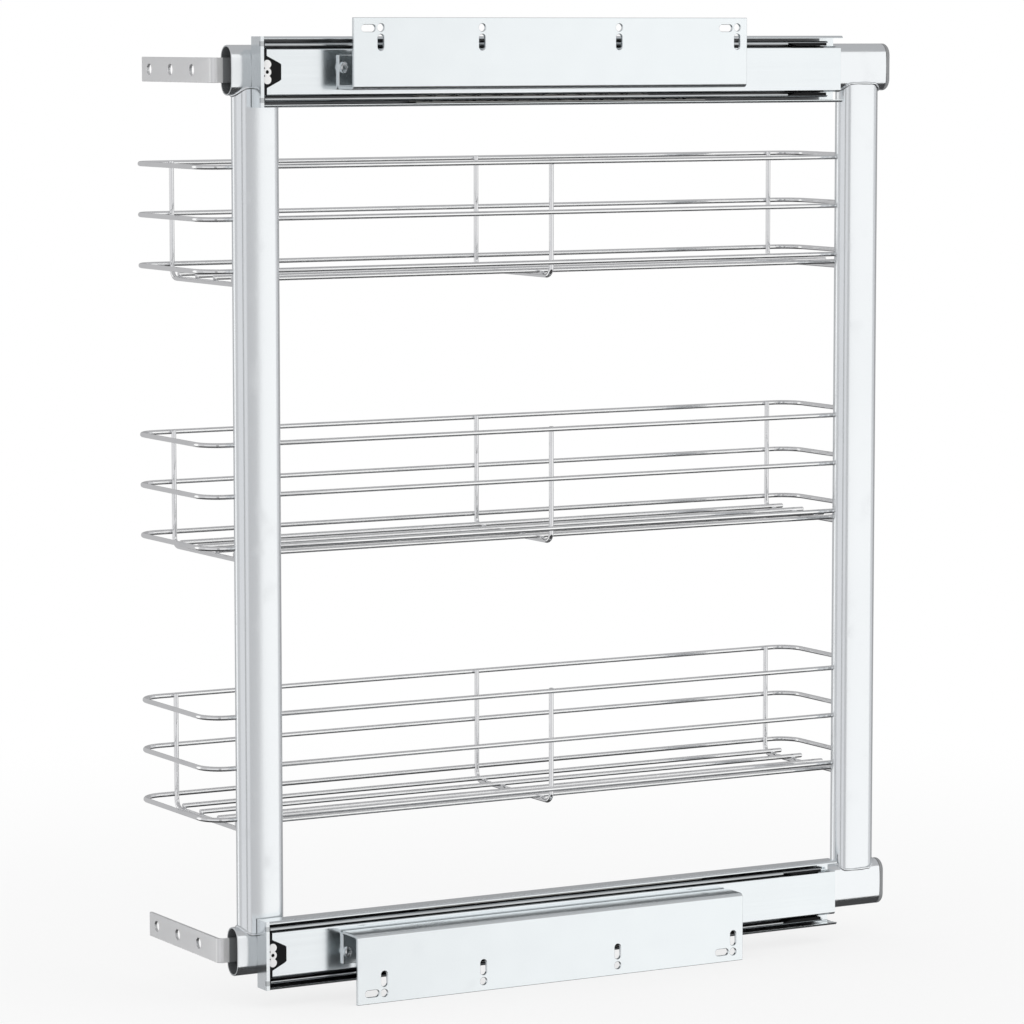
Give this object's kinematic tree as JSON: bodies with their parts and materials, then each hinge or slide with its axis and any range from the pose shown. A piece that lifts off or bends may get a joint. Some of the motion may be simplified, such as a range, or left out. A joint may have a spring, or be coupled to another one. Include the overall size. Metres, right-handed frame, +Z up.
{
  "type": "pull out larder unit",
  "caption": "Side-mounted pull-out larder frame of flat-oval steel tube with tiered chrome wire baskets, ball-bearing slides, cabinet mounting plates and front panel brackets.",
  "frame": {"origin": "on the cabinet wall's plane, midway between the four outer screw holes of the two mounting plates", "axes": "+X from the front panel to the back of the cabinet, along the tubes; +Y from the cabinet's side wall towards the baskets; +Z up. The frame pulls out along -X"},
  "size_m": [0.4858, 0.1513, 0.5954],
  "materials": {
    "tube_silver": "satin silver over steel",
    "wire_chrome": "bright chrome on drawn wire",
    "plate_zinc": "pale zinc-plated sheet",
    "rail_zinc": "bright zinc-plated rolled sheet",
    "bracket_steel": "satin nickel-plated strip",
    "screw_steel": "zinc-plated",
    "ball_steel": "polished",
    "cage_steel": "thin plain sheet",
    "cap_plastic": "silver-grey moulded",
    "black_plastic": "black moulded",
    "white_plastic": "white moulded"
  },
  "bodies": {
    "cabinet_side": {"top_mounting_plate": "plate_zinc", "top_plate_screws": "screw_steel", "top_cabinet_rail": "rail_zinc", "bottom_mounting_plate": "plate_zinc", "bottom_plate_screws": "screw_steel", "bottom_cabinet_rail": "rail_zinc"},
    "pull_out_frame": {"top_tube": "tube_silver", "top_tube_end_cap": "cap_plastic", "top_panel_bracket": "bracket_steel", "top_bracket_screws": "screw_steel", "top_frame_rail": "rail_zinc", "top_rail_rivets": "screw_steel", "top_rail_catch": "black_plastic", "top_catch_plate": "white_plastic", "bottom_tube": "tube_silver", "bottom_tube_end_cap": "cap_plastic", "bottom_panel_bracket": "bracket_steel", "bottom_bracket_screws": "screw_steel", "bottom_frame_rail": "rail_zinc", "bottom_rail_rivets": "screw_steel", "bottom_rail_catch": "black_plastic", "bottom_catch_plate": "white_plastic", "front_post": "tube_silver", "rear_post": "tube_silver", "lower_basket_bottom_ring": "wire_chrome", "lower_basket_middle_ring": "wire_chrome", "lower_basket_top_ring": "wire_chrome", "middle_basket_bottom_ring": "wire_chrome", "middle_basket_middle_ring": "wire_chrome", "middle_basket_top_ring": "wire_chrome", "upper_basket_bottom_ring": "wire_chrome", "upper_basket_middle_ring": "wire_chrome", "upper_basket_top_ring": "wire_chrome", "lower_basket_cross_wires": "wire_chrome", "middle_basket_cross_wires": "wire_chrome", "upper_basket_cross_wires": "wire_chrome", "lower_basket_floor_wires": "wire_chrome", "middle_basket_floor_wires": "wire_chrome", "upper_basket_floor_wires": "wire_chrome"},
    "top_middle_slide": {"top_middle_rail": "rail_zinc", "top_middle_rail_stops": "black_plastic"},
    "top_inner_cage": {"top_inner_ball_cage": "cage_steel", "top_inner_balls": "ball_steel"},
    "top_outer_cage": {"top_outer_ball_cage": "cage_steel", "top_outer_balls": "ball_steel"},
    "bottom_middle_slide": {"bottom_middle_rail": "rail_zinc", "bottom_middle_rail_stops": "black_plastic"},
    "bottom_inner_cage": {"bottom_inner_ball_cage": "cage_steel", "bottom_inner_balls": "ball_steel"},
    "bottom_outer_cage": {"bottom_outer_ball_cage": "cage_steel", "bottom_outer_balls": "ball_steel"}
  },
  "joints": [
    {"name": "pull_out", "type": "slide", "parent": "cabinet_side", "child": "pull_out_frame", "axis": [-1, 0, 0], "range_m": [0, 0.4]},
    {"name": "top_middle_slide_run", "type": "slide", "parent": "cabinet_side", "child": "top_middle_slide", "axis": [-1, 0, 0], "range_m": [0, 0.2]},
    {"name": "top_inner_cage_run", "type": "slide", "parent": "cabinet_side", "child": "top_inner_cage", "axis": [-1, 0, 0], "range_m": [0, 0.1]},
    {"name": "top_outer_cage_run", "type": "slide", "parent": "cabinet_side", "child": "top_outer_cage", "axis": [-1, 0, 0], "range_m": [0, 0.3]},
    {"name": "bottom_middle_slide_run", "type": "slide", "parent": "cabinet_side", "child": "bottom_middle_slide", "axis": [-1, 0, 0], "range_m": [0, 0.2]},
    {"name": "bottom_inner_cage_run", "type": "slide", "parent": "cabinet_side", "child": "bottom_inner_cage", "axis": [-1, 0, 0], "range_m": [0, 0.1]},
    {"name": "bottom_outer_cage_run", "type": "slide", "parent": "cabinet_side", "child": "bottom_outer_cage", "axis": [-1, 0, 0], "range_m": [0, 0.3]}
  ],
  "couplings": [
    {"joint": "top_middle_slide_run", "follows": "pull_out", "ratio": 0.5},
    {"joint": "top_inner_cage_run", "follows": "pull_out", "ratio": 0.25},
    {"joint": "top_outer_cage_run", "follows": "pull_out", "ratio": 0.75},
    {"joint": "bottom_middle_slide_run", "follows": "pull_out", "ratio": 0.5},
    {"joint": "bottom_inner_cage_run", "follows": "pull_out", "ratio": 0.25},
    {"joint": "bottom_outer_cage_run", "follows": "pull_out", "ratio": 0.75}
  ]
}
